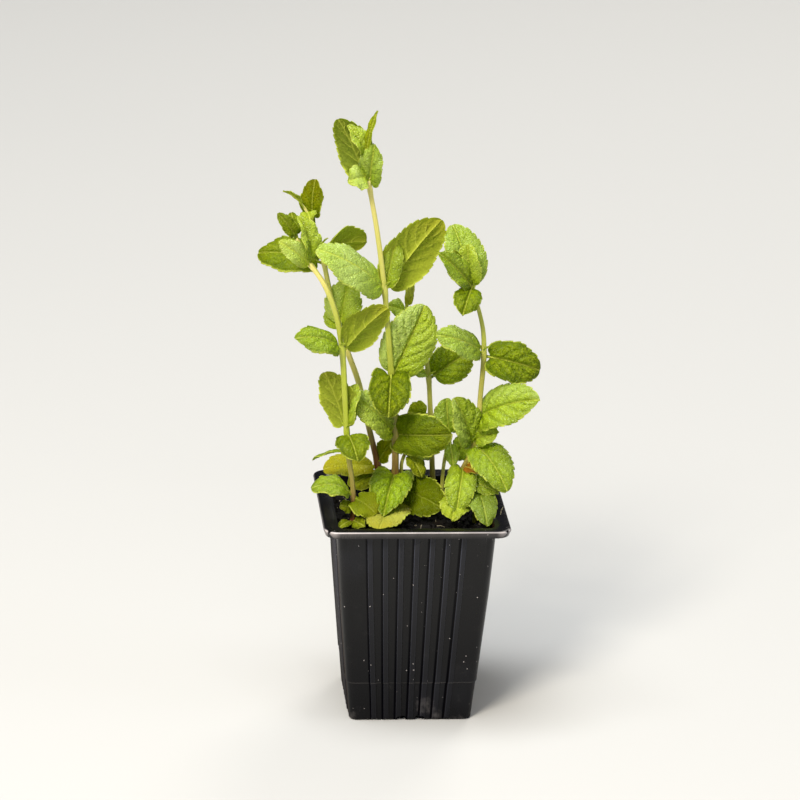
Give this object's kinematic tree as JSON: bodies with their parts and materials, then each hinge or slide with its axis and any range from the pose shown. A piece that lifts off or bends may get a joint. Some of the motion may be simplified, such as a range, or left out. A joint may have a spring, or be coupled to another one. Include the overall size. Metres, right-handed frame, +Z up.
{
  "type": "potted mint plant",
  "caption": "Young mint plant with toothed leaves on square stems, growing in dark compost in a square black nursery pot.",
  "frame": {"origin": "middle of the pot's underside, on the surface that the pot stands on", "axes": "+Z up, from the pot's underside to the leaf tips; -Y out of the pot's front face; +X to the right of it"},
  "size_m": [0.1362, 0.09, 0.299],
  "materials": {
    "pot_plastic": "satin",
    "compost": "rough",
    "mint": "satin"
  },
  "bodies": {
    "root": {"pot": "pot_plastic", "compost": "compost", "stem_front_left": "mint", "stem_tall": "mint", "stem_back_left": "mint", "stem_back_right": "mint", "stem_right": "mint", "shoot_middle": "mint", "shoot_back": "mint", "shoot_right": "mint"}
  },
  "joints": []
}
